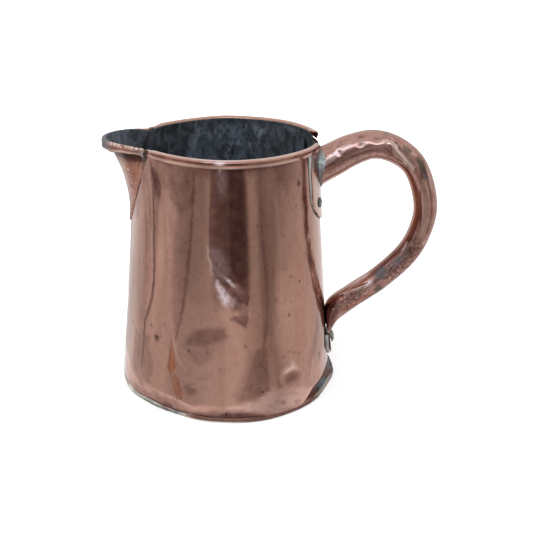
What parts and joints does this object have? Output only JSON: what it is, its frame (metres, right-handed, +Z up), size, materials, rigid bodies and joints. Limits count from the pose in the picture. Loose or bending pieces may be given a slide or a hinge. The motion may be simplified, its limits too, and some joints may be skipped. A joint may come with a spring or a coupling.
{
  "type": "ale jug",
  "caption": "Tapering copper jug with a wired rim, a beak spout, and a hollow handle soldered to a shield plate at the top and riveted at its foot.",
  "frame": {"origin": "centre of the round base where it rests on the table", "axes": "+Z up through the jug, +X towards the handle, the spout towards -X"},
  "size_m": [0.2296, 0.1578, 0.181],
  "materials": {
    "copper": "polished",
    "rivet_copper": "satin",
    "tin_solder": "satin",
    "iron_wire": "matte"
  },
  "bodies": {
    "root": {"body": "copper", "base_plate": "copper", "spout": "copper", "handle_tube": "copper", "handle_plate": "copper", "rim_wire_front": "iron_wire", "rim_wire_back": "iron_wire", "plate_rivet_front": "rivet_copper", "plate_rivet_back": "rivet_copper", "tongue_rivet": "rivet_copper", "upper_joint_solder": "tin_solder", "plate_edge_solder": "tin_solder", "tongue_solder": "tin_solder", "base_seam_solder": "tin_solder", "spout_solder_front": "tin_solder", "spout_solder_back": "tin_solder"}
  },
  "joints": []
}
